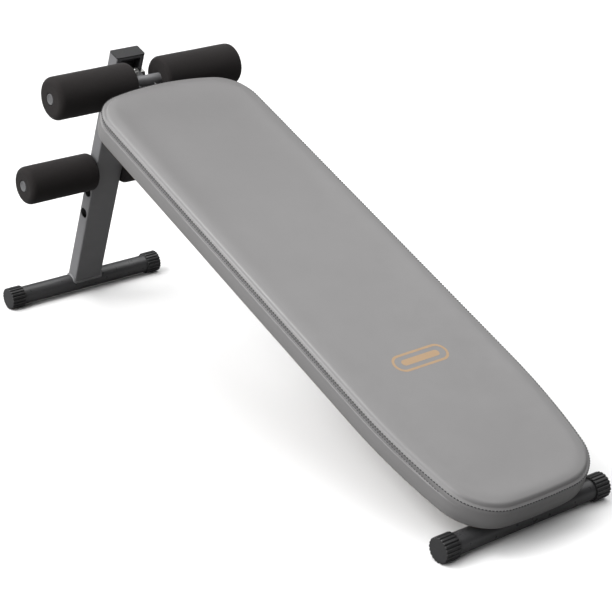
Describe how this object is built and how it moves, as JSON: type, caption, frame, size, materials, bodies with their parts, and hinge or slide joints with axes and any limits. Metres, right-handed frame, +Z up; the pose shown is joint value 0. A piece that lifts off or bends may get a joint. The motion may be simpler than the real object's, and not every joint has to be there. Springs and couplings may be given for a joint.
{
  "type": "decline sit up bench",
  "caption": "Padded decline bench for sit ups: a sloping board between a low front foot and a leaning post, with foam rollers at its raised end to hold the legs.",
  "frame": {"origin": "on the floor, at the middle of the bench's outline seen from above", "axes": "+Z up, +X across the bench to the right of a person lying on it with their head at the low end and looking up the slope, +Y along the bench towards the post and the raised end"},
  "size_m": [0.431, 1.4422, 0.5787],
  "materials": {
    "painted_frame": "satin",
    "bar_steel": "satin",
    "black_plastic": "satin",
    "grey_plastic": "matte",
    "roller_foam": "matte",
    "pad_vinyl": "satin",
    "board": "matte",
    "pad_foam": "matte",
    "zinc": "satin"
  },
  "bodies": {
    "bench": {"main_beam": "painted_frame", "pad_bracket_front": "painted_frame", "pad_bracket_rear": "painted_frame", "pad_board": "board", "pad_foam": "pad_foam", "pad_cover": "pad_vinyl", "pad_tee_nuts": "zinc", "pad_screws": "zinc", "front_foot_tube": "painted_frame", "front_foot_cap_left": "black_plastic", "front_foot_cap_right": "black_plastic", "upper_bar_saddle": "painted_frame", "saddle_bolts": "zinc", "saddle_washers": "zinc", "saddle_nuts": "zinc", "upper_roller_bar": "bar_steel", "upper_bar_plug_left": "grey_plastic", "upper_bar_plug_right": "grey_plastic", "pivot_sleeve": "zinc"},
    "post": {"post_tube": "painted_frame", "post_top_cap": "black_plastic", "rear_foot_tube": "painted_frame", "rear_foot_cap_left": "black_plastic", "rear_foot_cap_right": "black_plastic", "lower_roller_bar": "bar_steel", "lower_bar_plug_left": "grey_plastic", "lower_bar_plug_right": "grey_plastic", "pivot_bolt": "zinc", "pivot_washers": "zinc", "pivot_lock_nut": "zinc"},
    "upper_roller_left": {"upper_foam_left": "roller_foam"},
    "upper_roller_right": {"upper_foam_right": "roller_foam"},
    "lower_roller_left": {"lower_foam_left": "roller_foam"},
    "lower_roller_right": {"lower_foam_right": "roller_foam"}
  },
  "joints": [
    {"name": "post_fold", "type": "hinge", "parent": "bench", "child": "post", "pos_m": [0, 0.50429, 0.51916], "axis": [-1, 0, 0], "range_deg": [0, 75]},
    {"name": "upper_left_roll", "type": "hinge", "parent": "bench", "child": "upper_roller_left", "pos_m": [0, 0.43327, 0.52633], "axis": [1, 0, 0], "continuous": true},
    {"name": "upper_right_roll", "type": "hinge", "parent": "bench", "child": "upper_roller_right", "pos_m": [0, 0.43327, 0.52633], "axis": [1, 0, 0], "continuous": true},
    {"name": "lower_left_roll", "type": "hinge", "parent": "post", "child": "lower_roller_left", "pos_m": [0, 0.59108, 0.30475], "axis": [1, 0, 0], "continuous": true},
    {"name": "lower_right_roll", "type": "hinge", "parent": "post", "child": "lower_roller_right", "pos_m": [0, 0.59108, 0.30475], "axis": [1, 0, 0], "continuous": true}
  ]
}
